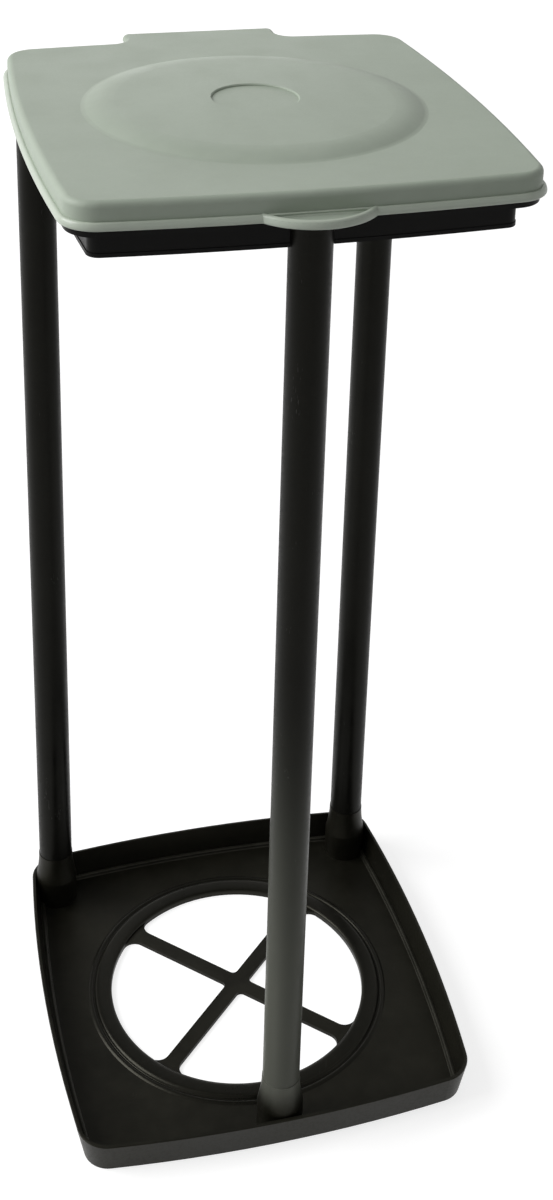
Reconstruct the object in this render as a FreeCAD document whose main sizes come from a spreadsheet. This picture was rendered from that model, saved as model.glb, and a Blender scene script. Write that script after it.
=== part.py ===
import FreeCAD, Part
import math
import os
import Sketcher

# A free-standing holder for large bin bags: a tray base with a round cross-braced hole, three tube legs,
# a bag ring that the bag's mouth is folded over, and a lid that hinges at the rear.
# Millimetres. The origin is on the floor under the middle of the base, +Z up, +Y towards the hinge.

# Driving sizes

SIZES = [
    ("base_width", 368.4, "tray across the middle of its sides"),
    ("base_depth", 375.6, "tray front to rear"),
    ("base_side_bow", 11.2, "how far the left and right sides bow out"),
    ("base_end_bow", 11.0, "how far the front and rear sides bow out"),
    ("base_corner", 28.0, "corner radius at the rim"),
    ("rim_height", 31.5, "floor to the top of the rim"),
    ("rim_lean", 5.8, "how far the rim leans out from foot to top"),
    ("rim_wall", 3.0, "thickness of the rim"),
    ("rim_bevel", 0.9, "bevel of the rim's top"),
    ("foot_bevel", 0.8, "bevel of the lower edge"),
    ("ledge_height", 7.0, "top of the ledge inside the rim"),
    ("ledge_width", 3.0, "width of that ledge"),
    ("floor_thickness", 3.5, "tray floor and cross"),
    ("hole_radius", 119.5, "round hole in the tray floor"),
    ("bead_width", 16.0, "raised bead round the hole"),
    ("bead_height", 2.8, "bead above the tray floor"),
    ("bead_bevel", 1.8, "bevel of the bead"),
    ("bead_groove_width", 1.4, "groove at the foot of the bead"),
    ("bead_groove_depth", 0.9, "depth of that groove"),
    ("arm_width", 14.5, "arms of the cross"),
    ("hub_round", 5.0, "window corners at the hub"),
    ("window_round", 11.0, "window corners at the ring"),
    ("leg_diameter", 32.0, "outside of a leg tube"),
    ("leg_wall", 2.0, "wall of a leg tube"),
    ("leg_length", 800.2, "length of a leg tube"),
    ("front_leg_inset", 24.3, "front leg's axis inside the base's front"),
    ("rear_leg_side_inset", 32.6, "rear legs' axes inside the base's sides"),
    ("rear_leg_inset", 33.1, "rear legs' axes inside the base's rear"),
    ("shoulder_height", 60.0, "floor to the shoulder that a leg stands on"),
    ("boss_lip", 0.5, "shoulder beyond the tube"),
    ("boss_spread", 3.5, "flare of a socket down to the rim's height"),
    ("spigot_length", 35.0, "spigot inside a leg"),
    ("spigot_clearance", 0.15, "radial gap between spigot and tube"),
    ("spigot_wall", 2.5, "wall of a hollow spigot"),
    ("spigot_lead", 1.5, "taper at a spigot's end"),
    ("ring_inset", 4.0, "flange inside the lid's lip"),
    ("ring_plate", 2.8, "thickness of the flange"),
    ("ring_rim_width", 3.0, "down-turned edge of the flange"),
    ("ring_rim_drop", 2.8, "how far that edge hangs down"),
    ("ring_wall_inset", 19.8, "ring wall inside the lid's lip"),
    ("ring_wall", 2.8, "thickness of the ring wall"),
    ("ring_wall_drop", 23.8, "ring wall below the flange"),
    ("ring_wall_corner", 9.0, "corner radius of the ring wall"),
    ("ring_bead", 0.6, "bead on the wall's lower edge"),
    ("ring_bead_height", 3.0, "height of that bead"),
    ("ring_leg_gap", 0.2, "radial gap between a leg and its pocket"),
    ("lid_gap", 0.3, "closed lid above the flange"),
    ("lid_less_width", 5.4, "lid narrower than the base"),
    ("lid_more_depth", 6.4, "lid, without its tabs, deeper than the base"),
    ("lid_side_bow", 9.1, "how far the lid's left and right sides bow out"),
    ("lid_end_bow", 7.4, "how far the lid's front and rear sides bow out"),
    ("lid_corner", 27.0, "corner radius of the lip"),
    ("lid_centre_y", 4.3, "middle of the lid behind the middle of the base"),
    ("lip_width", 2.8, "lip outside the skirt"),
    ("lip_height", 5.5, "height of the lip"),
    ("lip_bevel", 1.0, "bevel of the lip's upper edge"),
    ("lid_wall", 2.5, "wall of the lid"),
    ("lid_rise", 19.7, "lip to the flat top"),
    ("lid_round", 4.7, "rounding of the lid's upper edge"),
    ("dome_radius", 131.6, "raised disc in the lid"),
    ("dome_rise", 7.0, "disc above the flat top"),
    ("dome_shoulder_radius", 108.0, "where the disc's steep edge ends"),
    ("dome_shoulder_rise", 5.3, "height of that shoulder"),
    ("dome_foot_round", 10.0, "hollow rounding at the disc's foot"),
    ("recess_radius", 33.5, "round recess in the disc"),
    ("recess_depth", 1.8, "depth of that recess"),
    ("recess_bevel", 0.9, "bevel of the recess's edge"),
    ("finger_radius", 52.5, "round front of the finger tab"),
    ("finger_reach", 18.5, "finger tab ahead of the lip"),
    ("finger_rim", 4.6, "width of the rim round the finger tab"),
    ("finger_sink", 2.3, "finger tab's plate below its rim"),
    ("tab_width", 134.0, "hinge tab"),
    ("tab_overhang", 13.0, "hinge tab behind the hinge axis"),
    ("tab_drop", 5.0, "edge of the hinge tab below the flat top"),
    ("tab_corner", 6.0, "corner radius of the hinge tab"),
    ("tab_blend", 14.0, "hollow corner between tab and lid"),
    ("hinge_reach", 11.7, "hinge axis behind the lid's lip"),
    ("hinge_rise", 5.0, "hinge axis above the flange"),
    ("rod_diameter", 5.0, "hinge rod"),
    ("rod_end", 1.5, "rod beyond the outer lugs"),
    ("rod_fit", 0.02, "radial gap of the rod in the ring's lugs"),
    ("rod_play", 0.08, "radial gap of the rod in the lid's knuckles"),
    ("lug_radius", 5.5, "lugs of the ring"),
    ("lug_width", 8.0, "width of a lug"),
    ("knuckle_radius", 5.0, "knuckles of the lid"),
    ("knuckle_width", 22.0, "width of a knuckle"),
    ("knuckle_x", 42.0, "knuckles beside the middle"),
    ("knuckle_gap", 0.4, "side gap between knuckle and lug"),
    ("tongue_reach", 10.5, "ring's tongue behind the hinge axis"),
    ("tongue_edge", 1.5, "tongue beside the outer lugs"),
    ("slot_margin", 2.0, "tongue slot ahead of a knuckle"),
]

# How a sketch numbers an arc's points and its own axes

SKETCH_START, SKETCH_END, SKETCH_CENTRE = range(1, 4)
VERTICAL_AXIS, HORIZONTAL_AXIS = range(-2, 0)
ORIGIN_POINT = (HORIZONTAL_AXIS, SKETCH_START)
NEAR = 1e-4


class Size:
    """A length that knows its number and the expression it comes from."""

    def __init__(self, number, text):
        self.number = number
        self.text = text

    def __add__(self, other):
        other = as_size(other)
        return Size(self.number + other.number, "(%s + %s)" % (self.text, other.text))

    def __sub__(self, other):
        other = as_size(other)
        return Size(self.number - other.number, "(%s - %s)" % (self.text, other.text))

    def __mul__(self, other):
        other = as_size(other)
        return Size(self.number * other.number, "(%s * %s)" % (self.text, other.text))

    def __truediv__(self, other):
        other = as_size(other)
        return Size(self.number / other.number, "(%s / %s)" % (self.text, other.text))

    def __neg__(self):
        return Size(-self.number, "(0 - %s)" % self.text)


def as_size(value):
    if isinstance(value, Size):
        return value
    return Size(float(value), repr(float(value)))


def root(value):
    return Size(math.sqrt(value.number), "sqrt(%s)" % value.text)


ZERO = as_size(0)

document = FreeCAD.newDocument("bin_bag_holder")
sheet = document.addObject("Spreadsheet::Sheet", "sizes")
sheet.Label = "sizes"
size = {}
for row, (name, number, meaning) in enumerate(SIZES, 1):
    sheet.set("A%d" % row, meaning)
    sheet.set("B%d" % row, str(number))
    sheet.setAlias("B%d" % row, name)
    size[name] = Size(number, "sizes.%s" % name)
document.recompute()


# Sketch helpers

def sketch_on(body, plane, name, at):
    """A sketch in one of the body's own planes, moved to the point at."""
    sketch = body.newObject("Sketcher::SketchObject", name)
    origin_plane = [feature for feature in body.Origin.OriginFeatures if feature.Role == plane][0]
    sketch.AttachmentSupport = [(origin_plane, "")]
    sketch.MapMode = "FlatFace"
    across, along, up = at
    local = {
        "XY_Plane": (across, along, up),
        "XZ_Plane": (across, up, -along),
        "YZ_Plane": (along, up, across),
    }[plane]
    for axis, offset in zip("xyz", local):
        sketch.setExpression("AttachmentOffset.Base.%s" % axis, offset.text)
    return sketch


def bind(sketch, constraint, value):
    """Add a constraint whose value follows the sheet."""
    index = sketch.addConstraint(constraint)
    sketch.setExpression("Constraints[%d]" % index, value.text)


def pin(sketch, geometry, point, across, along):
    """Hold a sketch point at the place given from the sketch's origin."""
    for kind, axis, value in (("DistanceX", VERTICAL_AXIS, across), ("DistanceY", HORIZONTAL_AXIS, along)):
        if abs(value.number) < NEAR:
            sketch.addConstraint(Sketcher.Constraint("PointOnObject", geometry, point, axis))
        elif value.number > 0:
            ends = (*ORIGIN_POINT, geometry, point)
            bind(sketch, Sketcher.Constraint(kind, *ends, value.number), value)
        else:
            ends = (geometry, point, *ORIGIN_POINT)
            bind(sketch, Sketcher.Constraint(kind, *ends, -value.number), -value)


def flat(across, along):
    return FreeCAD.Vector(across, along, 0)


def arc_of(centre, radius, start, end):
    circle = Part.Circle(centre, flat(0, 0) + FreeCAD.Vector(0, 0, 1), radius)
    return Part.ArcOfCircle(circle, start, end)


def draw_circle(sketch, radius):
    """A circle round the sketch's origin."""
    circle = Part.Circle(flat(0, 0), FreeCAD.Vector(0, 0, 1), radius.number)
    index = sketch.addGeometry(circle, False)
    sketch.addConstraint(Sketcher.Constraint("Coincident", index, SKETCH_CENTRE, *ORIGIN_POINT))
    bind(sketch, Sketcher.Constraint("Radius", index, radius.number), radius)


def draw_profile(sketch, corners, arcs=None):
    """A closed profile through the corners.

    arcs gives the segments that are arcs: the corner a segment starts from, then
    (centre across, centre along, True where the arc runs counter-clockwise).
    """
    arcs = arcs or {}
    first = sketch.GeometryCount
    count = len(corners)
    ends = []
    for index, (across, along) in enumerate(corners):
        start = flat(across.number, along.number)
        following = corners[(index + 1) % count]
        end = flat(following[0].number, following[1].number)
        if index not in arcs:
            sketch.addGeometry(Part.LineSegment(start, end), False)
            ends.append((SKETCH_START, SKETCH_END))
            continue
        centre_across, centre_along, forward = arcs[index]
        centre = flat(centre_across.number, centre_along.number)
        low, high = (start, end) if forward else (end, start)
        from_angle = math.atan2(low.y - centre.y, low.x - centre.x)
        to_angle = math.atan2(high.y - centre.y, high.x - centre.x)
        if to_angle <= from_angle:
            to_angle += 2 * math.pi
        sketch.addGeometry(arc_of(centre, (start - centre).Length, from_angle, to_angle), False)
        ends.append((SKETCH_START, SKETCH_END) if forward else (SKETCH_END, SKETCH_START))
    for index in range(count):
        following = (index + 1) % count
        joint = (first + index, ends[index][1], first + following, ends[following][0])
        sketch.addConstraint(Sketcher.Constraint("Coincident", *joint))
    for index, (across, along) in enumerate(corners):
        pin(sketch, first + index, ends[index][0], across, along)
    for index, (centre_across, centre_along, _) in arcs.items():
        start = corners[index]
        end = corners[(index + 1) % count]
        level = abs(start[1].number - end[1].number) > abs(start[0].number - end[0].number)
        hold_centre(sketch, first + index, centre_across, centre_along, level)


def hold_centre(sketch, geometry, across, along, level):
    """Hold an arc's centre in the one direction that its ends leave free."""
    value = across if level else along
    axis = VERTICAL_AXIS if level else HORIZONTAL_AXIS
    kind = "DistanceX" if level else "DistanceY"
    if abs(value.number) < NEAR:
        sketch.addConstraint(Sketcher.Constraint("PointOnObject", geometry, SKETCH_CENTRE, axis))
    elif value.number > 0:
        ends = (*ORIGIN_POINT, geometry, SKETCH_CENTRE)
        bind(sketch, Sketcher.Constraint(kind, *ends, value.number), value)
    else:
        ends = (geometry, SKETCH_CENTRE, *ORIGIN_POINT)
        bind(sketch, Sketcher.Constraint(kind, *ends, -value.number), -value)


class BowedOutline:
    """A rectangle with bowed sides and round corners, centred on its sketch."""

    def __init__(self, width, depth, side_bow, end_bow, corner):
        half_width = width / 2
        half_depth = depth / 2
        chord_width = half_width - side_bow
        chord_depth = half_depth - end_bow
        self.half_width = half_width
        self.half_depth = half_depth
        self.corner = corner
        self.end_radius = (chord_width * chord_width + end_bow * end_bow) / (end_bow * 2)
        self.side_radius = (chord_depth * chord_depth + side_bow * side_bow) / (side_bow * 2)
        self.end_centre = self.end_radius - half_depth
        self.side_centre = self.side_radius - half_width

    def corner_centre(self, inset, corner):
        """Where the circles that a corner arc's centre lies on cross."""
        side = self.side_radius.number - inset.number - corner.number
        end = self.end_radius.number - inset.number - corner.number
        left = self.side_centre.number
        down = self.end_centre.number
        offset = (side ** 2 - end ** 2 - left ** 2 + down ** 2) / 2
        slope = down / left
        shift = offset / left + left
        square = slope ** 2 + 1
        half = slope * shift
        along = (-half + math.sqrt(half ** 2 - square * (shift ** 2 - side ** 2))) / square
        return slope * along + offset / left, along

    def draw(self, sketch, inset, corner=None):
        """Eight tangent arcs, moved in from the outline by inset."""
        corner = corner or self.corner - inset
        across, along = self.corner_centre(inset, corner)
        left = self.side_centre.number
        down = self.end_centre.number
        low = math.atan2(along, across + left)
        high = math.atan2(along + down, across)
        side = self.side_radius - inset
        end = self.end_radius - inset
        turn = math.pi
        arcs = [
            (flat(-left, 0), side, -low, low),
            (flat(across, along), corner, low, high),
            (flat(0, -down), end, high, turn - high),
            (flat(-across, along), corner, turn - high, turn - low),
            (flat(left, 0), side, turn - low, turn + low),
            (flat(-across, -along), corner, turn + low, turn + high),
            (flat(0, down), end, turn + high, 2 * turn - high),
            (flat(across, -along), corner, 2 * turn - high, 2 * turn - low),
        ]
        first = sketch.GeometryCount
        for centre, radius, start, stop in arcs:
            sketch.addGeometry(arc_of(centre, radius.number, start, stop), False)
        for index in range(len(arcs)):
            ends = (first + index, SKETCH_END, first + (index + 1) % len(arcs), SKETCH_START)
            sketch.addConstraint(Sketcher.Constraint("Tangent", *ends))
        pin(sketch, first, SKETCH_CENTRE, -self.side_centre, ZERO)
        pin(sketch, first + 2, SKETCH_CENTRE, ZERO, -self.end_centre)
        pin(sketch, first + 4, SKETCH_CENTRE, self.side_centre, ZERO)
        pin(sketch, first + 6, SKETCH_CENTRE, ZERO, self.end_centre)
        for index, (_, radius, _, _) in enumerate(arcs):
            bind(sketch, Sketcher.Constraint("Radius", first + index, radius.number), radius)


# Feature helpers

def new_body(name):
    body = document.addObject("PartDesign::Body", name)
    body.Label = name
    return body


def pad(body, name, sketch, height, midplane=False):
    feature = body.newObject("PartDesign::Pad", name)
    feature.Profile = sketch
    feature.setExpression("Length", height.text)
    feature.Midplane = midplane
    return feature


def cut_up(body, name, sketch, height):
    """Pocket from the sketch upwards."""
    feature = body.newObject("PartDesign::Pocket", name)
    feature.Profile = sketch
    feature.setExpression("Length", height.text)
    feature.Reversed = True
    return feature


def cut_both_ways(body, name, sketch, length):
    feature = body.newObject("PartDesign::Pocket", name)
    feature.Profile = sketch
    feature.setExpression("Length", length.text)
    feature.Midplane = True
    return feature


def pad_leaning(body, name, sketch, height):
    """Pad upwards with walls that lean out as the tray's rim does."""
    feature = pad(body, name, sketch, height)
    feature.setExpression("TaperAngle", "atan(%s)" % (size["rim_lean"] / size["rim_height"]).text)
    return feature


def turned(body, kind, name, sketch):
    """Revolve a sketch about its own vertical axis."""
    feature = body.newObject("PartDesign::%s" % kind, name)
    feature.Profile = sketch
    feature.ReferenceAxis = (sketch, ["V_Axis"])
    feature.Angle = 360
    return feature


def dress_edges(body, kind, name, measure, value, chosen):
    """Dress the tip's edges that the test chosen picks."""
    document.recompute()
    base = body.Tip
    edges = ["Edge%d" % number for number, edge in enumerate(base.Shape.Edges, 1) if chosen(edge)]
    if not edges:
        raise ValueError("no edges for %s" % name)
    feature = body.newObject("PartDesign::%s" % kind, name)
    feature.Base = (base, edges)
    feature.setExpression(measure, value.text)
    document.recompute()
    return feature


def round_off(body, name, radius, chosen):
    return dress_edges(body, "Fillet", name, "Radius", radius, chosen)


def bevel_off(body, name, width, chosen):
    return dress_edges(body, "Chamfer", name, "Size", width, chosen)


def level_with(edge, height):
    box = edge.BoundBox
    return abs(box.ZMin - height.number) < NEAR and abs(box.ZMax - height.number) < NEAR


def on_circle(edge, radius, centre_along):
    """True for an edge that runs round the vertical line through the lid's middle at this radius."""
    points = edge.discretize(7)
    reaches = [math.hypot(point.x, point.y - centre_along.number) for point in points]
    return all(abs(reach - radius.number) < NEAR for reach in reaches)


# Shared places

MIDDLE = (ZERO, ZERO, ZERO)
leg_radius = size["leg_diameter"] / 2
front_leg_y = size["front_leg_inset"] - size["base_depth"] / 2
rear_leg_x = size["base_width"] / 2 - size["rear_leg_side_inset"]
rear_leg_y = size["base_depth"] / 2 - size["rear_leg_inset"]
leg_places = {
    "front": (ZERO, front_leg_y),
    "rear_left": (-rear_leg_x, rear_leg_y),
    "rear_right": (rear_leg_x, rear_leg_y),
}
spigot_radius = leg_radius - size["leg_wall"] - size["spigot_clearance"]
spigot_core = spigot_radius - size["spigot_wall"]

leg_top = size["shoulder_height"] + size["leg_length"]
ring_top = leg_top + size["ring_plate"]
lip_bottom = ring_top + size["lid_gap"]
lid_top = lip_bottom + size["lid_rise"]

lid_width = size["base_width"] - size["lid_less_width"]
lid_depth = size["base_depth"] + size["lid_more_depth"]
hinge_y = size["lid_centre_y"] + lid_depth / 2 + size["hinge_reach"]
hinge_height = ring_top + size["hinge_rise"]
tab_rear = hinge_y + size["tab_overhang"]
knuckle_places = {"left": -size["knuckle_x"], "right": size["knuckle_x"]}
lug_offset = size["knuckle_width"] / 2 + size["knuckle_gap"] + size["lug_width"] / 2
outer_lug_face = size["knuckle_x"] + lug_offset + size["lug_width"] / 2
rod_radius = size["rod_diameter"] / 2

base_outline = BowedOutline(
    size["base_width"],
    size["base_depth"],
    size["base_side_bow"],
    size["base_end_bow"],
    size["base_corner"],
)
lid_outline = BowedOutline(
    lid_width,
    lid_depth,
    size["lid_side_bow"],
    size["lid_end_bow"],
    size["lid_corner"],
)


def base_level(body, name, height, inset):
    sketch = sketch_on(body, "XY_Plane", name, (ZERO, ZERO, height))
    base_outline.draw(sketch, inset)
    return sketch


def lid_level(body, name, height):
    return sketch_on(body, "XY_Plane", name, (ZERO, size["lid_centre_y"], height))


# Base

def make_tray_hollow():
    """The space above the tray floor, with the three leg sockets left standing in it."""
    body = new_body("tray_hollow")
    lean_above_ledge = size["rim_lean"] * (as_size(1) - size["ledge_height"] / size["rim_height"])
    ledge_inset = size["rim_wall"] + lean_above_ledge
    ledge = base_level(body, "LedgeOutline", size["ledge_height"], ledge_inset)
    pad_leaning(body, "AboveLedge", ledge, size["rim_height"] - size["ledge_height"])
    floor = base_level(body, "FloorOutline", size["floor_thickness"], ledge_inset + size["ledge_width"])
    pad(body, "AboveFloor", floor, size["ledge_height"] - size["floor_thickness"])
    socket_radius = leg_radius + size["boss_lip"] + size["boss_spread"]
    for place, (across, along) in leg_places.items():
        sketch = sketch_on(body, "XY_Plane", place + "_socket_circle", (across, along, ZERO))
        draw_circle(sketch, socket_radius)
        cut_up(body, place + "_socket", sketch, size["rim_height"])
    document.recompute()
    return body


def add_socket(body, place, across, along):
    """Flared socket above the rim, its shoulder and the hollow spigot that carries a leg."""
    shoulder = leg_radius + size["boss_lip"]
    flare_foot = shoulder + size["boss_spread"]
    flare_height = size["shoulder_height"] - size["rim_height"]
    flare_radius = (flare_height * flare_height + size["boss_spread"] * size["boss_spread"]) / (
        size["boss_spread"] * 2
    )
    spigot_top = flare_height + size["spigot_length"]
    corners = [
        (ZERO, ZERO),
        (flare_foot, ZERO),
        (shoulder, flare_height),
        (spigot_radius, flare_height),
        (spigot_radius, spigot_top - size["spigot_lead"]),
        (spigot_radius - size["spigot_lead"], spigot_top),
        (ZERO, spigot_top),
    ]
    sketch = sketch_on(body, "XZ_Plane", place + "_flare_profile", (across, along, size["rim_height"]))
    draw_profile(sketch, corners, {1: (shoulder + flare_radius, flare_height, False)})
    turned(body, "Revolution", place + "_flare", sketch)
    core = sketch_on(body, "XY_Plane", place + "_core_circle", (across, along, ZERO))
    draw_circle(core, spigot_core)
    core_height = size["shoulder_height"] + size["spigot_length"] - size["spigot_wall"]
    cut_up(body, place + "_core", core, core_height)


def add_windows(body):
    """Four windows in the tray floor, which leave the cross between them."""
    half_arm = size["arm_width"] / 2
    hub = size["hub_round"]
    ring_round = size["window_round"]
    slant = math.sqrt(0.5)
    sketch = sketch_on(body, "XY_Plane", "WindowOutline", MIDDLE)
    hub_reach = (half_arm + half_arm + hub) * slant
    hub_side = hub * slant
    run = root(
        (size["hole_radius"] - ring_round) * (size["hole_radius"] - ring_round)
        - (half_arm + ring_round) * (half_arm + ring_round)
    )
    side_across = (half_arm + run) * slant
    side_along = (run - half_arm) * slant
    centre_across = (half_arm + ring_round + run) * slant
    centre_along = (run - half_arm - ring_round) * slant
    stretch = size["hole_radius"] / (size["hole_radius"] - ring_round)
    ring_across = centre_across * stretch
    ring_along = centre_along * stretch
    hub_centre = (half_arm + hub) * math.sqrt(2)
    corners = [
        (hub_reach, hub_side),
        (hub_reach, -hub_side),
        (side_across, -side_along),
        (ring_across, -ring_along),
        (ring_across, ring_along),
        (side_across, side_along),
    ]
    arcs = {
        0: (hub_centre, ZERO, True),
        2: (centre_across, -centre_along, True),
        3: (ZERO, ZERO, True),
        4: (centre_across, centre_along, True),
    }
    draw_profile(sketch, corners, arcs)
    window = cut_up(body, "Window", sketch, size["rim_height"])
    pattern = body.newObject("PartDesign::PolarPattern", "Windows")
    pattern.Originals = [window]
    upright = [feature for feature in body.Origin.OriginFeatures if feature.Role == "Z_Axis"][0]
    pattern.Axis = (upright, [""])
    pattern.Angle = 360
    pattern.Occurrences = 4
    body.Tip = pattern
    document.recompute()


def add_bead(body):
    """Raised bead round the hole, with a fine groove at its foot."""
    inner = size["hole_radius"]
    outer = inner + size["bead_width"]
    low = size["floor_thickness"] / 2
    top = size["floor_thickness"] + size["bead_height"]
    bevel = size["bead_bevel"]
    sketch = sketch_on(body, "XZ_Plane", "BeadProfile", MIDDLE)
    corners = [
        (inner, low),
        (outer, low),
        (outer, top - bevel),
        (outer - bevel, top),
        (inner + bevel, top),
        (inner, top - bevel),
    ]
    draw_profile(sketch, corners)
    turned(body, "Revolution", "Bead", sketch)
    groove_outer = outer + size["bead_groove_width"]
    groove_floor = size["floor_thickness"] - size["bead_groove_depth"]
    groove = sketch_on(body, "XZ_Plane", "BeadGrooveProfile", MIDDLE)
    corners = [
        (outer, groove_floor),
        (groove_outer, groove_floor),
        (groove_outer, top),
        (outer, top),
    ]
    draw_profile(groove, corners)
    turned(body, "Groove", "BeadGroove", groove)


def make_base():
    hollow = make_tray_hollow()
    body = new_body("base")
    foot = base_level(body, "FootOutline", ZERO, size["rim_lean"])
    pad_leaning(body, "Block", foot, size["rim_height"])
    document.recompute()
    bevel_off(body, "RimBevel", size["rim_bevel"], lambda edge: level_with(edge, size["rim_height"]))
    bevel_off(body, "FootBevel", size["foot_bevel"], lambda edge: level_with(edge, ZERO))
    tray = body.newObject("PartDesign::Boolean", "Tray")
    tray.setObjects([hollow])
    tray.Type = "Cut"
    document.recompute()
    add_windows(body)
    add_bead(body)
    for place, (across, along) in leg_places.items():
        add_socket(body, place, across, along)
    document.recompute()
    return body


# Legs

def make_leg(name, across, along):
    """Plain round tube from the base's shoulder to the flange of the ring."""
    body = new_body(name)
    sketch = sketch_on(body, "XY_Plane", name + "_section", (ZERO, ZERO, ZERO))
    draw_circle(sketch, leg_radius)
    draw_circle(sketch, leg_radius - size["leg_wall"])
    pad(body, name + "_tube", sketch, size["leg_length"])
    body.setExpression("Placement.Base.x", across.text)
    body.setExpression("Placement.Base.y", along.text)
    body.setExpression("Placement.Base.z", size["shoulder_height"].text)
    document.recompute()
    return body


# Bag ring

def draw_ring_wall(sketch, inset):
    """The ring wall's outline, moved in by inset, with its own corner radius."""
    lid_outline.draw(sketch, size["ring_wall_inset"] + inset, size["ring_wall_corner"] - inset)


def draw_box(sketch, left, right, front, rear):
    draw_profile(sketch, [(left, front), (right, front), (right, rear), (left, rear)])


def add_ring_sockets(body):
    """A pocket of the wall round each leg, and the spigot inside each leg's top."""
    wall_bottom = leg_top - size["ring_wall_drop"]
    pocket_radius = leg_radius + size["ring_leg_gap"]
    for place, (across, along) in leg_places.items():
        sketch = sketch_on(body, "XY_Plane", place + "_pocket_circle", (across, along, wall_bottom))
        draw_circle(sketch, pocket_radius + size["ring_wall"])
        pad(body, place + "_pocket_wall", sketch, size["ring_wall_drop"])
    trim = lid_level(body, "OutsideOfWall", wall_bottom)
    lid_outline.draw(trim, -size["ring_inset"])
    draw_ring_wall(trim, ZERO)
    cut_up(body, "PocketTrim", trim, size["ring_wall_drop"])
    bead = lid_level(body, "WallBeadOutline", wall_bottom)
    draw_ring_wall(bead, -size["ring_bead"])
    draw_ring_wall(bead, size["ring_wall"] / 2)
    pad(body, "WallBead", bead, size["ring_bead_height"])
    rim = lid_level(body, "FlangeEdgeOutline", leg_top - size["ring_rim_drop"])
    lid_outline.draw(rim, size["ring_inset"])
    lid_outline.draw(rim, size["ring_inset"] + size["ring_rim_width"])
    pad(body, "FlangeEdge", rim, size["ring_rim_drop"])
    for place, (across, along) in leg_places.items():
        hole = sketch_on(body, "XY_Plane", place + "_leg_circle", (across, along, wall_bottom))
        draw_circle(hole, pocket_radius)
        cut_up(body, place + "_leg_space", hole, size["ring_wall_drop"])
        spigot_bottom = leg_top - size["spigot_length"]
        spigot = sketch_on(body, "XY_Plane", place + "_spigot_circle", (across, along, spigot_bottom))
        draw_circle(spigot, spigot_radius)
        draw_circle(spigot, spigot_core)
        pad(body, place + "_spigot", spigot, size["spigot_length"])


def add_tongue(body):
    """Slotted tongue behind the flange that carries the hinge lugs."""
    half = outer_lug_face + size["tongue_edge"]
    flange_rear = size["lid_centre_y"] + lid_outline.half_depth - size["ring_wall_inset"]
    tongue = sketch_on(body, "XY_Plane", "TongueOutline", (ZERO, ZERO, leg_top))
    draw_box(tongue, -half, half, flange_rear, hinge_y + size["tongue_reach"])
    pad(body, "Tongue", tongue, size["ring_plate"])


def add_lugs(body):
    lug = size["lug_radius"]
    foot = -size["hinge_rise"] - size["ring_plate"] / 2
    for place, middle in knuckle_places.items():
        for side, shift in (("inner", -lug_offset), ("outer", lug_offset)):
            across = middle + (shift if place == "right" else -shift)
            name = "%s_%s_lug" % (place, side)
            sketch = sketch_on(body, "YZ_Plane", name + "_profile", (across, hinge_y, hinge_height))
            corners = [(-lug, foot), (lug, foot), (lug, ZERO), (-lug, ZERO)]
            draw_profile(sketch, corners, {2: (ZERO, ZERO, True)})
            pad(body, name, sketch, size["lug_width"], midplane=True)
    bore = sketch_on(body, "YZ_Plane", "LugBoreCircle", (ZERO, hinge_y, hinge_height))
    draw_circle(bore, rod_radius + size["rod_fit"])
    cut_both_ways(body, "LugBore", bore, (outer_lug_face + size["tongue_edge"]) * 2)
    slot_half = size["knuckle_width"] / 2 + size["knuckle_gap"]
    slot_front = hinge_y - size["knuckle_radius"] - size["slot_margin"]
    slot_rear = hinge_y + size["tongue_reach"] * 2
    for place, middle in knuckle_places.items():
        slot = sketch_on(body, "XY_Plane", place + "_slot_outline", (ZERO, ZERO, leg_top))
        draw_box(slot, middle - slot_half, middle + slot_half, slot_front, slot_rear)
        cut_up(body, place + "_slot", slot, size["ring_plate"])


def make_bag_ring():
    body = new_body("bag_ring")
    wall_bottom = leg_top - size["ring_wall_drop"]
    flange = lid_level(body, "FlangeOutline", leg_top)
    lid_outline.draw(flange, size["ring_inset"])
    pad(body, "Flange", flange, size["ring_plate"])
    wall = lid_level(body, "WallOutline", wall_bottom)
    draw_ring_wall(wall, ZERO)
    pad(body, "Wall", wall, size["ring_wall_drop"])
    add_tongue(body)
    mouth = lid_level(body, "BagMouthOutline", wall_bottom)
    draw_ring_wall(mouth, size["ring_wall"])
    cut_up(body, "BagMouth", mouth, size["ring_wall_drop"] + size["ring_plate"])
    add_ring_sockets(body)
    add_lugs(body)
    document.recompute()
    return body


# Lid

def draw_finger_tab(sketch, inset, chord):
    """The part of a circle that lies ahead of a chord, in the lid's own sketch."""
    radius = size["finger_radius"] - inset
    centre = -lid_outline.half_depth - size["finger_reach"] + size["finger_radius"]
    half = root(radius * radius - (chord - centre) * (chord - centre))
    draw_profile(sketch, [(half, chord), (-half, chord)], {1: (ZERO, centre, True)})


def draw_hinge_tab(sketch):
    """Straight-sided tab with round rear corners and hollow corners where it leaves the lid."""
    half = size["tab_width"] / 2
    rear = tab_rear - size["lid_centre_y"]
    corner = size["tab_corner"]
    blend = size["tab_blend"]
    skirt = lid_outline.end_radius - size["lip_width"]
    blend_across = half + blend
    reach = root((skirt + blend) * (skirt + blend) - blend_across * blend_across)
    blend_along = reach - lid_outline.end_centre
    share = skirt / (skirt + blend)
    touch_across = blend_across * share
    touch_along = reach * share - lid_outline.end_centre
    corners = [
        (-touch_across, touch_along),
        (touch_across, touch_along),
        (half, blend_along),
        (half, rear - corner),
        (half - corner, rear),
        (corner - half, rear),
        (-half, rear - corner),
        (-half, blend_along),
    ]
    arcs = {
        1: (blend_across, blend_along, False),
        3: (half - corner, rear - corner, True),
        5: (corner - half, rear - corner, True),
        7: (-blend_across, blend_along, False),
    }
    draw_profile(sketch, corners, arcs)


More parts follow.
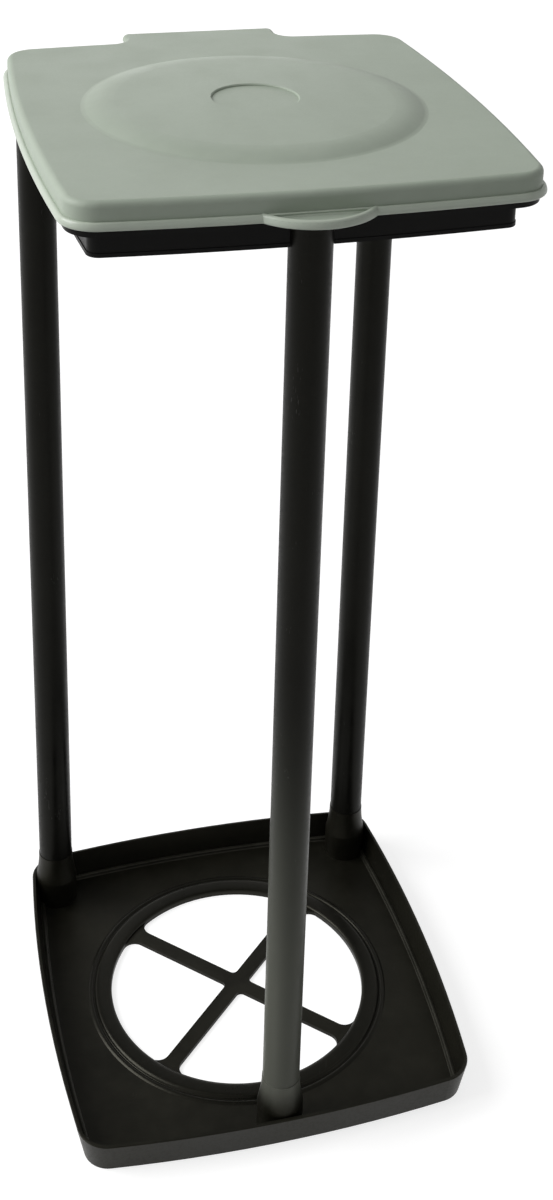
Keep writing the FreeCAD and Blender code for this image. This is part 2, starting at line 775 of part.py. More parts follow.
def dome_corners(drop):
    """Corners of the disc's half profile from its rim to its middle, lowered by drop."""
    return [
        (size["dome_radius"], -drop),
        (size["dome_shoulder_radius"], size["dome_shoulder_rise"] - drop),
        (ZERO, size["dome_rise"] - drop),
    ]


def dome_arcs(first, drop):
    """The crown and the steep edge as tangent arcs."""
    shoulder = size["dome_shoulder_radius"]
    crown_drop = size["dome_rise"] - size["dome_shoulder_rise"]
    crown_radius = (shoulder * shoulder + crown_drop * crown_drop) / (crown_drop * 2)
    crown_centre = size["dome_rise"] - crown_radius
    lean_across = shoulder / crown_radius
    lean_up = (crown_radius - crown_drop) / crown_radius
    step_across = size["dome_radius"] - shoulder
    step_down = size["dome_shoulder_rise"]
    edge_radius = (step_across * step_across + step_down * step_down) / (
        (lean_up * step_down - lean_across * step_across) * 2
    )
    return {
        first: (
            shoulder - lean_across * edge_radius,
            size["dome_shoulder_rise"] - lean_up * edge_radius - drop,
            True,
        ),
        first + 1: (ZERO, crown_centre - drop, True),
    }


def add_dome(body):
    sink = size["lid_wall"] / 2
    sketch = sketch_on(body, "XZ_Plane", "DiscProfile", (ZERO, size["lid_centre_y"], lid_top))
    corners = [(ZERO, -sink), (size["dome_radius"], -sink)] + dome_corners(ZERO)
    draw_profile(sketch, corners, dome_arcs(2, ZERO))
    turned(body, "Revolution", "Disc", sketch)


def hollow_dome(body):
    """Follow the disc and its recess on the inside, one wall below."""
    wall = size["lid_wall"]
    level = -wall - wall / 2
    recess_edge = size["recess_radius"] + wall
    recess_level = size["dome_rise"] - size["recess_depth"] - wall
    shoulder = (size["dome_shoulder_radius"], size["dome_shoulder_rise"] - wall)
    crown_level = size["dome_shoulder_rise"] - wall
    foot = size["dome_radius"] - wall / 2
    sketch = sketch_on(body, "XZ_Plane", "DiscInsideProfile", (ZERO, size["lid_centre_y"], lid_top))
    corners = [
        (ZERO, level),
        (foot, level),
        (foot, -wall),
        shoulder,
        (recess_edge, crown_level),
        (recess_edge, recess_level),
        (ZERO, recess_level),
    ]
    draw_profile(sketch, corners)
    turned(body, "Groove", "DiscInside", sketch)


def add_knuckles(body):
    """Knuckles under the hinge tab that turn on the rod."""
    eye = size["knuckle_radius"]
    top = lid_top - hinge_height - size["lid_wall"] / 2
    for place, middle in knuckle_places.items():
        sketch = sketch_on(body, "YZ_Plane", place + "_knuckle_profile", (middle, hinge_y, hinge_height))
        corners = [(-eye, ZERO), (eye, ZERO), (eye, top), (-eye, top)]
        draw_profile(sketch, corners, {0: (ZERO, ZERO, True)})
        pad(body, place + "_knuckle", sketch, size["knuckle_width"], midplane=True)
    bore = sketch_on(body, "YZ_Plane", "KnuckleBoreCircle", (ZERO, hinge_y, hinge_height))
    draw_circle(bore, rod_radius + size["rod_play"])
    cut_both_ways(body, "KnuckleBore", bore, outer_lug_face * 2)


def make_lid():
    body = new_body("lid")
    skirt_front = size["lip_width"] - lid_outline.half_depth
    lip = lid_level(body, "LipOutline", lip_bottom)
    lid_outline.draw(lip, ZERO)
    pad(body, "Lip", lip, size["lip_height"])
    lip_top = lip_bottom + size["lip_height"]
    bevel_off(body, "LipEdge", size["lip_bevel"], lambda edge: level_with(edge, lip_top))
    finger = lid_level(body, "FingerTabOutline", lip_bottom)
    draw_finger_tab(finger, ZERO, skirt_front + size["lid_wall"] / 2)
    pad(body, "FingerTab", finger, size["lip_height"])
    bevel_off(body, "FingerEdge", size["lip_bevel"],
              lambda edge: level_with(edge, lip_top)
              and isinstance(edge.Curve, Part.Circle)
              and abs(edge.Curve.Radius - size["finger_radius"].number) < NEAR)
    plate = lid_level(body, "FingerPlateOutline", lip_top - size["finger_sink"])
    draw_finger_tab(plate, size["finger_rim"], -lid_outline.half_depth)
    cut_up(body, "FingerPlate", plate, size["finger_sink"])
    skirt = lid_level(body, "SkirtOutline", lip_bottom)
    lid_outline.draw(skirt, size["lip_width"])
    pad(body, "Skirt", skirt, size["lid_rise"])
    tab = lid_level(body, "HingeTabOutline", lid_top - size["tab_drop"])
    draw_hinge_tab(tab)
    pad(body, "HingeTab", tab, size["tab_drop"])
    round_off(body, "UpperEdge", size["lid_round"], lambda edge: level_with(edge, lid_top))
    add_dome(body)
    round_off(body, "DiscFoot", size["dome_foot_round"],
              lambda edge: level_with(edge, lid_top)
              and on_circle(edge, size["dome_radius"], size["lid_centre_y"]))
    recess_top = lid_top + size["dome_rise"]
    recess = lid_level(body, "RecessCircle", recess_top - size["recess_depth"])
    draw_circle(recess, size["recess_radius"])
    cut_up(body, "Recess", recess, size["recess_depth"])
    recess_floor = recess_top - size["recess_depth"]
    bevel_off(body, "RecessEdge", size["recess_bevel"],
              lambda edge: on_circle(edge, size["recess_radius"], size["lid_centre_y"])
              and edge.BoundBox.ZMin > recess_floor.number + NEAR)
    inside = lid_level(body, "InsideOutline", lip_bottom)
    lid_outline.draw(inside, size["lip_width"] + size["lid_wall"])
    cut_up(body, "Inside", inside, size["lid_rise"] - size["lid_wall"])
    hollow_dome(body)
    tab_inside = lid_level(body, "TabInsideOutline", lid_top - size["tab_drop"])
    half = size["tab_width"] / 2 - size["lid_wall"]
    tab_inside_rear = tab_rear - size["lid_centre_y"] - size["lid_wall"]
    draw_box(tab_inside, -half, half, size["lid_wall"] / 4 - skirt_front, tab_inside_rear)
    cut_up(body, "TabInside", tab_inside, size["tab_drop"] - size["lid_wall"])
    add_knuckles(body)
    document.recompute()
    return body


# Hinge rod

def make_rod():
    body = new_body("hinge_rod")
    sketch = sketch_on(body, "YZ_Plane", "RodCircle", (ZERO, hinge_y, hinge_height))
    draw_circle(sketch, rod_radius)
    pad(body, "Rod", sketch, (outer_lug_face + size["rod_end"]) * 2, midplane=True)
    document.recompute()
    return body


parts = [
    make_base(),
    make_leg("front_leg", *leg_places["front"]),
    make_leg("rear_left_leg", *leg_places["rear_left"]),
    make_leg("rear_right_leg", *leg_places["rear_right"]),
    make_bag_ring(),
    make_lid(),
    make_rod(),
]

# Check everything, then write one file for each part

document.recompute()
for item in document.Objects:
    if "Invalid" in item.State or "Error" in item.State:
        raise RuntimeError("%s failed: %s" % (item.Name, item.State))

os.makedirs("parts", exist_ok=True)
for part in parts:
    shape = part.Shape
    if shape.isNull() or not shape.isValid():
        raise RuntimeError("%s has no valid shape" % part.Label)
    shape.exportStep("parts/%s.step" % part.Label)
    box = shape.BoundBox
    spans = (box.XMin, box.XMax, box.YMin, box.YMax, box.ZMin, box.ZMax)
    print("%s: %d solid, %.0f mm3" % (part.Label, len(shape.Solids), shape.Volume))
    print("  x %.1f to %.1f, y %.1f to %.1f, z %.1f to %.1f" % spans)
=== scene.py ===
import logging
import math
from dataclasses import dataclass, field, replace
from enum import Enum

import bmesh
import bpy
from mathutils import Matrix, Vector


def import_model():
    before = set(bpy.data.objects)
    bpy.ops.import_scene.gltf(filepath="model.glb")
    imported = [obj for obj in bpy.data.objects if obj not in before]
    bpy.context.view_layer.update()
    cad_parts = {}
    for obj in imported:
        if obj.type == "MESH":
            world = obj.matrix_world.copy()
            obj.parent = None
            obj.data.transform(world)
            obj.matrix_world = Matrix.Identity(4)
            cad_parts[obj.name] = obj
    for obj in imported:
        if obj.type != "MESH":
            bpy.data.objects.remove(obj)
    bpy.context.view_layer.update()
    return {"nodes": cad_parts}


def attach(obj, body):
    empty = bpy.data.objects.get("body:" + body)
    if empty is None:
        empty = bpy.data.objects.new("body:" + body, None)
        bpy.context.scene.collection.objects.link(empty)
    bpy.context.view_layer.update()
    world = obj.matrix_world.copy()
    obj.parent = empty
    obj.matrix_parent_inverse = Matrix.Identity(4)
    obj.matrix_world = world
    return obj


# Looks of a free-standing bin bag holder: a tray base, three legs, a bag ring and a hinged lid.
# Metres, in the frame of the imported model. The CAD nodes stay where they are: this script gives
# them their finishes and adds four fine rolled edges, the light, the paper and the camera.

log = logging.getLogger("bin_bag_holder")

Colour = tuple[float, float, float]
Section = tuple[tuple[float, float], ...]
MILLIMETRE = 0.001


# Photograph

@dataclass(frozen=True)
class Viewpoint:
    """Where the photograph was taken from.

    Lengths are metres and degrees; the focal length and the principal point are in pixels of
    the photograph's frame.
    """

    eye: tuple[float, float, float] = (-0.3128, -1.2482, 1.3022)
    azimuth: float = -15.67
    elevation: float = 22.65
    roll: float = 1.89
    focal: float = 1760.2
    principal: tuple[float, float] = (298.7, 250.0)
    frame_width: float = 553.0
    frame_height: float = 1200.0
    sensor: float = 36.0
    nearest: float = 0.02

    def aim(self) -> Matrix:
        """Work out which way the camera looks.

        Returns:
            The camera's turn as a 3 by 3 matrix.
        """
        azimuth = math.radians(self.azimuth)
        elevation = math.radians(self.elevation)
        away = Vector((
            math.sin(azimuth) * math.cos(elevation),
            -math.cos(azimuth) * math.cos(elevation),
            math.sin(elevation),
        ))
        right = (-away).cross(Vector((0.0, 0.0, 1.0))).normalized()
        up = right.cross(-away)
        turn = Matrix((right, up, away)).transposed()
        return turn @ Matrix.Rotation(math.radians(self.roll), 3, "Z")

    def build(self) -> None:
        """Place the camera and make it the scene's own."""
        lens = bpy.data.cameras.new("photo_camera")
        lens.sensor_width = self.sensor
        lens.lens = self.focal * self.sensor / self.frame_height
        lens.shift_x = (self.frame_width / 2 - self.principal[0]) / self.frame_height
        lens.shift_y = (self.principal[1] - self.frame_height / 2) / self.frame_height
        lens.clip_start = self.nearest
        camera = bpy.data.objects.new("photo_camera", lens)
        camera.matrix_world = Matrix.Translation(self.eye) @ self.aim().to_4x4()
        bpy.context.scene.collection.objects.link(camera)
        bpy.context.scene.camera = camera


# Node wiring

# A Mix node has sockets of one name for each kind of data, so its colour sockets go by number.
MIX_SHARE, MIX_FIRST, MIX_SECOND, MIX_RESULT = 0, 6, 7, 2


class Wiring:
    """Adds nodes to one tree and joins them."""

    def __init__(self, tree: bpy.types.NodeTree) -> None:
        """Keep the tree that nodes are added to."""
        self.tree = tree

    def add(self, kind: str, feeds: dict | None = None, **settings) -> bpy.types.Node:
        """Add a node.

        Args:
            kind: the node's type name without its ShaderNode prefix.
            feeds: what goes into its sockets, a value or another node's output.
            settings: the node's own properties.

        Returns:
            The new node.
        """
        node = self.tree.nodes.new("ShaderNode" + kind)
        for name, value in settings.items():
            setattr(node, name, value)
        for socket, value in (feeds or {}).items():
            self.feed(node, socket, value)
        return node

    def feed(self, node: bpy.types.Node, socket: str | int, value: object) -> None:
        """Give a socket its value, or join it to the output that value is.

        Args:
            node: the node that has the socket.
            socket: the socket's name or number.
            value: a number, a colour or another node's output.
        """
        target = node.inputs[socket]
        if isinstance(value, bpy.types.NodeSocket):
            self.tree.links.new(value, target)
        elif target.type == "RGBA" and len(value) == 3:
            target.default_value = (*value, 1.0)
        else:
            target.default_value = value

    def sum(self, kind: str, first: object, second: object,
            clamp: bool = False) -> bpy.types.NodeSocket:
        """Return the output of a Math node with two operands."""
        return self.add("Math", {0: first, 1: second}, operation=kind, use_clamp=clamp).outputs[0]

    def blend(self, share: object, first: object, second: object) -> bpy.types.NodeSocket:
        """Return the mix of two colours."""
        feeds = {MIX_SHARE: share, MIX_FIRST: first, MIX_SECOND: second}
        return self.add("Mix", feeds, data_type="RGBA").outputs[MIX_RESULT]

    def between(self, value: object, low: object, high: object, to_low: float = 0.0,
                to_high: float = 1.0) -> bpy.types.NodeSocket:
        """Return value, smoothly mapped from one range to another and held at its ends."""
        feeds = {
            "Value": value, "From Min": low, "From Max": high, "To Min": to_low, "To Max": to_high,
        }
        return self.add("MapRange", feeds, interpolation_type="SMOOTHSTEP").outputs[0]

    def noise(self, place: object, scale: object, detail: float = 2.0,
              roughness: float = 0.5) -> bpy.types.NodeSocket:
        """Return a noise value between 0 and 1."""
        feeds = {"Vector": place, "Scale": scale, "Detail": detail, "Roughness": roughness}
        return self.add("TexNoise", feeds).outputs[0]


class Effect:
    """A shader node group: made the first time that a material asks for it."""

    name = "effect"
    takes: tuple[tuple[str, str, object], ...] = ()
    gives: tuple[tuple[str, str], ...] = ()

    def wire(self, wiring: Wiring, inputs: bpy.types.Node, outputs: bpy.types.Node) -> None:
        """Fill the group; each effect has its own way."""
        raise NotImplementedError

    def tree(self) -> bpy.types.NodeTree:
        """Make the group's tree, or find the one that is there already.

        Returns:
            The group's tree.
        """
        known = bpy.data.node_groups.get(self.name)
        if known:
            return known
        tree = bpy.data.node_groups.new(self.name, "ShaderNodeTree")
        for name, kind, default in self.takes:
            socket = tree.interface.new_socket(
                name=name, in_out="INPUT", socket_type="NodeSocket" + kind)
            if default is not None:
                socket.default_value = default
        for name, kind in self.gives:
            tree.interface.new_socket(name=name, in_out="OUTPUT", socket_type="NodeSocket" + kind)
        inputs = tree.nodes.new("NodeGroupInput")
        outputs = tree.nodes.new("NodeGroupOutput")
        self.wire(Wiring(tree), inputs, outputs)
        return tree

    def place(self, wiring: Wiring, **feeds) -> bpy.types.Node:
        """Put the group into a material.

        Args:
            wiring: the material's wiring.
            feeds: its inputs, with an underscore for each space of a socket's name.

        Returns:
            The group node.
        """
        node = wiring.add("Group")
        node.node_tree = self.tree()
        for name, value in feeds.items():
            wiring.feed(node, name.replace("_", " "), value)
        return node


class MouldGrain(Effect):
    """Spark-eroded grain that a steel mould leaves on plastic, with a slow waviness under it."""

    name = "mould_grain"
    takes = (("Place", "Vector", None), ("Grain", "Float", 1500.0), ("Waves", "Float", 30.0),
             ("Wave Share", "Float", 0.3))
    gives = (("Height", "Float"), ("Fleck", "Float"))
    coarse_scale = 0.31
    pit_share = 0.6
    coarse_share = 0.4
    fleck_range = (0.42, 0.66)

    def wire(self, wiring: Wiring, inputs: bpy.types.Node, outputs: bpy.types.Node) -> None:
        """Two noises of pits over one of waves.

        Args:
            wiring: the group's wiring.
            inputs: the node with what the group takes.
            outputs: the node with what the group gives.
        """
        place = inputs.outputs["Place"]
        pits = wiring.noise(place, inputs.outputs["Grain"], detail=3.0, roughness=0.6)
        coarse_grain = wiring.sum("MULTIPLY", inputs.outputs["Grain"], self.coarse_scale)
        coarse = wiring.noise(place, coarse_grain)
        waves = wiring.noise(place, inputs.outputs["Waves"], detail=1.0)
        fine = wiring.sum("MULTIPLY", pits, self.pit_share)
        grain = wiring.sum("ADD", fine, wiring.sum("MULTIPLY", coarse, self.coarse_share))
        waves = wiring.sum("MULTIPLY", waves, inputs.outputs["Wave Share"])
        wiring.feed(outputs, "Height", wiring.sum("ADD", grain, waves))
        wiring.feed(outputs, "Fleck", wiring.between(coarse, *self.fleck_range))


class PatchyTone(Effect):
    """A colour that drifts between a light and a dark tone, as plastic and paint do."""

    name = "patchy_tone"
    takes = (("Place", "Vector", None), ("Light Tone", "Color", None), ("Dark Tone", "Color", None),
             ("Patches", "Float", 9.0))
    gives = (("Colour", "Color"), ("Patch", "Float"))
    fine_scale = 14.0
    broad_share = 0.75
    fine_share = 0.25
    patch_range = (0.32, 0.68)

    def wire(self, wiring: Wiring, inputs: bpy.types.Node, outputs: bpy.types.Node) -> None:
        """One broad noise and one fine one pick the tone.

        Args:
            wiring: the group's wiring.
            inputs: the node with what the group takes.
            outputs: the node with what the group gives.
        """
        place = inputs.outputs["Place"]
        broad = wiring.noise(place, inputs.outputs["Patches"], detail=3.0, roughness=0.55)
        fine_patches = wiring.sum("MULTIPLY", inputs.outputs["Patches"], self.fine_scale)
        fine = wiring.noise(place, fine_patches)
        broad = wiring.sum("MULTIPLY", broad, self.broad_share)
        both = wiring.sum("ADD", broad, wiring.sum("MULTIPLY", fine, self.fine_share))
        patch = wiring.between(both, *self.patch_range)
        tones = (inputs.outputs["Dark Tone"], inputs.outputs["Light Tone"])
        wiring.feed(outputs, "Colour", wiring.blend(patch, *tones))
        wiring.feed(outputs, "Patch", patch)


class Scuffs(Effect):
    """Fine rubbed lines and the dull spots round them."""

    name = "scuffs"
    takes = (("Place", "Vector", None), ("Across", "Float", 900.0), ("Along", "Float", 40.0),
             ("Rarity", "Float", 0.62))
    gives = (("Mask", "Float"),)
    turns = (0.35, 1.9)
    line_range = (0.66, 0.74)
    patch_scale = 22.0
    patch_edge = 0.12

    def wire(self, wiring: Wiring, inputs: bpy.types.Node, outputs: bpy.types.Node) -> None:
        """Noise stretched two ways, kept only in patches.

        Args:
            wiring: the group's wiring.
            inputs: the node with what the group takes.
            outputs: the node with what the group gives.
        """
        place = inputs.outputs["Place"]
        across = inputs.outputs["Across"]
        along = inputs.outputs["Along"]
        rarity = inputs.outputs["Rarity"]
        marks = []
        for turn in self.turns:
            turned = wiring.add(
                "VectorRotate", {"Vector": place, "Angle": turn}, rotation_type="Z_AXIS")
            scale = wiring.add("CombineXYZ", {"X": across, "Y": along, "Z": along})
            feeds = {0: turned.outputs[0], 1: scale.outputs[0]}
            spread = wiring.add("VectorMath", feeds, operation="MULTIPLY")
            line = wiring.noise(spread.outputs[0], 1.0)
            marks.append(wiring.between(line, *self.line_range))
        lines = wiring.sum("MAXIMUM", *marks)
        patch = wiring.noise(place, self.patch_scale)
        kept = wiring.between(patch, rarity, wiring.sum("ADD", rarity, self.patch_edge))
        wiring.feed(outputs, "Mask", wiring.sum("MULTIPLY", lines, kept))


class SettledDust(Effect):
    """Pale dust that lies on what faces up, thicker in patches."""

    name = "settled_dust"
    takes = (("Place", "Vector", None), ("Normal", "Vector", None), ("Patches", "Float", 26.0))
    gives = (("Mask", "Float"),)
    upward_range = (0.55, 0.95)
    mottle_range = (0.38, 0.78)

    def wire(self, wiring: Wiring, inputs: bpy.types.Node, outputs: bpy.types.Node) -> None:
        """Upward surfaces times a mottled noise.

        Args:
            wiring: the group's wiring.
            inputs: the node with what the group takes.
            outputs: the node with what the group gives.
        """
        upward = wiring.add("SeparateXYZ", {"Vector": inputs.outputs["Normal"]}).outputs["Z"]
        flat = wiring.between(upward, *self.upward_range)
        mottle = wiring.noise(
            inputs.outputs["Place"], inputs.outputs["Patches"], detail=5.0, roughness=0.65)
        mottled = wiring.between(mottle, *self.mottle_range)
        wiring.feed(outputs, "Mask", wiring.sum("MULTIPLY", flat, mottled))


# Finishes

class Slot(Enum):
    """Two of the record's material slots; nothing in this script uses them."""

    BASE = "base_plastic"
    LID = "lid_plastic"


@dataclass(frozen=True)
class Finish:
    """One surface finish: colours, gloss, grain and wear.

    The painted light is a lighter grey tone by height that stands in for light: full at
    painted_light_foot, none at painted_light_top, and none behind painted_light_front where that
    is given.
    """

    name: str
    light_tone: Colour
    dark_tone: Colour
    roughness: float
    rough_spread: float
    grain: float
    grain_depth: float
    waves: float = 30.0
    wave_share: float = 0.3
    patches: float = 9.0
    scuff_tone: Colour = (0.2, 0.2, 0.2)
    scuff_share: float = 0.3
    scuff_rarity: float = 0.6
    scuff_along: float = 40.0
    scuff_dulling: float = 0.5
    dust_tone: Colour = (0.3, 0.3, 0.28)
    dust_share: float = 0.0
    metal: float = 0.0
    specular: float = 0.5
    gloss_tone: Colour = (1.0, 1.0, 1.0)
    painted_light_tone: Colour = (0.05, 0.05, 0.05)
    painted_light_share: float = 0.0
    painted_light_foot: float = 0.12
    painted_light_top: float = 0.48
    painted_light_front: float | None = None
    painted_light_edge: float = 0.02

    def make(self) -> bpy.types.Material:
        """Build the material.

        Returns:
            The material, with colour, roughness and bump from its nodes.
        """
        material = bpy.data.materials.new(self.name)
        material.use_nodes = True
        material.node_tree.nodes.clear()
        wiring = Wiring(material.node_tree)
        place = wiring.add("TexCoord").outputs["Object"]
        tone = PatchyTone().place(
            wiring, Place=place, Light_Tone=self.light_tone, Dark_Tone=self.dark_tone,
            Patches=self.patches)
        grain = MouldGrain().place(
            wiring, Place=place, Grain=self.grain, Waves=self.waves, Wave_Share=self.wave_share)
        scuffs = Scuffs().place(
            wiring, Place=place, Along=self.scuff_along, Rarity=self.scuff_rarity)
        scuffed = wiring.sum("MULTIPLY", scuffs.outputs["Mask"], self.scuff_share)
        colour = wiring.blend(scuffed, tone.outputs["Colour"], self.scuff_tone)
        drift = wiring.sum("MULTIPLY", tone.outputs["Patch"], self.rough_spread)
        fleck = wiring.sum("MULTIPLY", grain.outputs["Fleck"], self.rough_spread)
        uneven = wiring.sum("ADD", drift, fleck)
        rough = wiring.sum("ADD", uneven, self.roughness - self.rough_spread)
        dulled = wiring.sum("MULTIPLY", scuffed, self.scuff_dulling)
        rough = wiring.sum("ADD", rough, dulled, clamp=True)
        # Painted light: a lighter grey tone blended in by height.
        if self.painted_light_share:
            spot = wiring.add("SeparateXYZ", {"Vector": place})
            painted_light = self.painted_light(wiring, spot.outputs["Y"], spot.outputs["Z"])
            colour = wiring.blend(painted_light, colour, self.painted_light_tone)
        if self.dust_share:
            normal = wiring.add("NewGeometry").outputs["Normal"]
            dust = SettledDust().place(wiring, Place=place, Normal=normal)
            dusty = wiring.sum("MULTIPLY", dust.outputs["Mask"], self.dust_share)
            colour = wiring.blend(dusty, colour, self.dust_tone)
            rough = wiring.sum("ADD", rough, dusty, clamp=True)
        bump = wiring.add("Bump", {
            "Strength": 1.0,
            "Distance": self.grain_depth,
            "Height": grain.outputs["Height"],
        })
        shader = wiring.add("BsdfPrincipled", {
            "Base Color": colour,
            "Roughness": rough,
            "Metallic": self.metal,
            "Specular IOR Level": self.specular,
            "Specular Tint": self.gloss_tone,
            "Normal": bump.outputs[0],
        })
        output = wiring.add("OutputMaterial")
        wiring.feed(output, "Surface", shader.outputs[0])
        return material

    def painted_light(self, wiring: Wiring, depth: bpy.types.NodeSocket,
              height: bpy.types.NodeSocket) -> bpy.types.NodeSocket:
        """Return how much of the painted light shows.

        Args:
            wiring: the material's wiring.
            depth: where the surface lies from front to back.
            height: how high it lies.

        Returns:
            The share of the painted light's tone.
        """
        low, high = sorted((self.painted_light_foot, self.painted_light_top))
        shares = (self.painted_light_share, 0.0) if low == self.painted_light_foot else (0.0, self.painted_light_share)
        share = wiring.between(height, low, high, *shares)
        if self.painted_light_front is None:
            return share
        near = wiring.between(depth, self.painted_light_front, self.painted_light_front + self.painted_light_edge, 1.0, 0.0)
        return wiring.sum("MULTIPLY", share, near)


# Lighter grey painted light for the lower front leg and its socket.
PAINTED_LIGHT_GREY = (0.112, 0.116, 0.098)

BLACK_MOULDING = Finish(
    name="black_moulding",
    light_tone=(0.0084, 0.0080, 0.0054),
    dark_tone=(0.0046, 0.0044, 0.0030),
    roughness=0.42,
    specular=0.17,
    gloss_tone=(1.0, 0.97, 0.80),
    rough_spread=0.07,
    grain=1300.0,
    grain_depth=0.00003,
    scuff_tone=(0.06, 0.06, 0.055),
    dust_tone=(0.07, 0.068, 0.052),
    dust_share=0.07,
    # Painted light on the front socket, lighter towards where the leg goes in.
    painted_light_tone=PAINTED_LIGHT_GREY,
    painted_light_share=0.95,
    painted_light_foot=0.060,
    painted_light_top=0.034,
    painted_light_front=-0.14,
)
ROLLED_EDGE = replace(
    BLACK_MOULDING,
    name="rolled_edge",
    light_tone=(0.0054, 0.0052, 0.0038),
    dark_tone=(0.0034, 0.0033, 0.0024),
    roughness=0.31,
    rough_spread=0.04,
    specular=0.22,
    dust_share=0.0,
    painted_light_share=0.0,
)
# A lighter copy of the rolled edge: a painted highlight along the ledge inside the tray.
PAINTED_HIGHLIGHT_EDGE = replace(
    ROLLED_EDGE,
    name="painted_highlight_edge",
    light_tone=(0.026, 0.025, 0.020),
    dark_tone=(0.012, 0.012, 0.009),
    patches=30.0,
)
RING_MOULDING = Finish(
    name="ring_moulding",
    light_tone=(0.0042, 0.0041, 0.0036),
    dark_tone=(0.0026, 0.0026, 0.0023),
    roughness=0.40,
    specular=0.08,
    rough_spread=0.06,
    grain=1500.0,
    grain_depth=0.00002,
    scuff_tone=(0.05, 0.05, 0.05),
)
PAINTED_TUBE = Finish(
    name="painted_tube",
    light_tone=(0.0060, 0.0060, 0.0050),
    dark_tone=(0.0034, 0.0034, 0.0028),
    roughness=0.38,
    specular=0.09,
    gloss_tone=(1.0, 0.98, 0.86),
    rough_spread=0.09,
    grain=1100.0,
    grain_depth=0.00003,
    waves=70.0,
    wave_share=1.2,
    patches=26.0,
    scuff_tone=(0.10, 0.10, 0.095),
    scuff_share=0.35,
    scuff_rarity=0.56,
    scuff_along=120.0,
)
# The front leg, with painted light: lighter grey towards its foot.
PAINTED_LIGHT_TUBE = replace(
    PAINTED_TUBE,
    name="painted_light_tube",
    painted_light_tone=PAINTED_LIGHT_GREY,
    painted_light_share=0.95,
)
GREEN_GREY_MOULDING = Finish(
    name="green_grey_moulding",
    light_tone=(0.385, 0.440, 0.365),
    dark_tone=(0.350, 0.402, 0.330),
    roughness=0.52,
    specular=0.36,
    rough_spread=0.06,
    grain=1600.0,
    grain_depth=0.00002,
    patches=7.0,
    scuff_tone=(0.50, 0.54, 0.48),
    scuff_share=0.22,
    scuff_rarity=0.60,
    dust_tone=(0.46, 0.48, 0.43),
    dust_share=0.10,
)
# A lighter, glossier copy of the lid's moulding: a painted highlight on the rolled lip and the
# finger tab's rim.
PAINTED_HIGHLIGHT_LIP = replace(
    GREEN_GREY_MOULDING,
    name="painted_highlight_lip",
    light_tone=(0.490, 0.546, 0.462),
    dark_tone=(0.440, 0.494, 0.414),
    roughness=0.34,
    specular=0.50,
)
DRAWN_STEEL = Finish(
    name="drawn_steel",
    light_tone=(0.62, 0.62, 0.61),
    dark_tone=(0.44, 0.44, 0.43),
    roughness=0.34,
    rough_spread=0.10,
    grain=2400.0,
    grain_depth=0.00001,
    patches=60.0,
    metal=1.0,
)


# Pieces

def finish_of(finish: Finish) -> bpy.types.Material:
    """Return a finish's material, made once."""
    return bpy.data.materials.get(finish.name) or finish.make()


def repaint(node: bpy.types.Object, finish: Finish) -> None:
    """Give a CAD node its finish.

    Args:
        node: the CAD node's object.
        finish: the finish that all of it gets.
    """
    material = finish_of(finish)
    for slot in node.material_slots:
        slot.material = material
    log.info("%s: finish %s", node.name, finish.name)


def sweep(name: str, rails: list[list[Vector]], closed: bool) -> bpy.types.Object:
    """Skin a row of sections.

    Args:
        name: the new piece's name.
        rails: one section after another along the path, each with as many points.
        closed: True where the last section joins the first.

    Returns:
        The smooth piece, linked to the scene.
    """
    shape = bmesh.new()
    rows = [[shape.verts.new(point) for point in section] for section in rails]
    pairs = list(zip(rows, rows[1:]))
    if closed:
        pairs.append((rows[-1], rows[0]))
    for near, far in pairs:
        for index in range(len(near) - 1):
            shape.faces.new((near[index], near[index + 1], far[index + 1], far[index]))
    bmesh.ops.recalc_face_normals(shape, faces=shape.faces)
    for face in shape.faces:
        face.smooth = True
    mesh = bpy.data.meshes.new(name)
    shape.to_mesh(mesh)
    shape.free()
    piece = bpy.data.objects.new(name, mesh)
    bpy.context.scene.collection.objects.link(piece)
    return piece


def settle(piece: bpy.types.Object, body: str, finish: Finish) -> None:
    """Finish a new piece and join it to what carries it.

    Args:
        piece: the new piece.
        body: the CAD body that it moves with.
        finish: its finish.
    """
    piece.data.materials.append(finish_of(finish))
    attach(piece, body)
    log.info("%s: %d faces on %s", piece.name, len(piece.data.polygons), body)


def way_out(turn: float) -> Vector:
    """Return the level way out at a turn about the upright."""
    return Vector((math.cos(turn), math.sin(turn), 0.0))


def section_at(point: Vector, out: Vector, foot: float, section: Section) -> list[Vector]:
    """Place a section on a path.

    Args:
        point: where on the path it stands.
        out: the level way out from the path.
        foot: the height that the section's heights count from.
        section: points in millimetres, out from the path and up from the foot.

    Returns:
        The section's points in the scene.
    """
    stand = point + Vector((0.0, 0.0, foot))
    return [
        stand + Vector((out.x * across, out.y * across, up)) * MILLIMETRE
        for across, up in section
    ]


@dataclass(frozen=True)
class HoleRoll:
    """Rolled bead round the hole of the tray, with a groove and a fine outer roll.

    The profile is in millimetres, out from the middle of the hole and up from the ground.
    """

    steps: int = 300
    profile: Section = (
        (119.42, 0.3), (119.40, 3.2), (119.42, 4.5), (119.70, 5.2), (120.40, 5.9),
        (121.40, 6.30), (123.00, 6.48), (126.00, 6.55), (129.00, 6.55), (131.50, 6.48),
        (133.20, 6.32), (134.40, 5.85), (135.30, 5.05), (135.80, 4.20), (136.10, 3.75),
        (136.50, 3.62), (136.95, 3.75), (137.45, 4.25), (138.10, 4.60), (138.90, 4.72),
        (139.80, 4.60), (140.70, 4.20), (141.40, 3.75), (141.90, 3.45),
    )

    def build(self) -> None:
        """Turn the profile about the middle of the hole."""
        middle = Vector((0.0, 0.0, 0.0))
        turns = [math.tau * step / self.steps for step in range(self.steps)]
        rails = [section_at(middle, way_out(turn), 0.0, self.profile) for turn in turns]
        piece = sweep("hole_roll", rails, closed=True)
        settle(piece, "stand", ROLLED_EDGE)


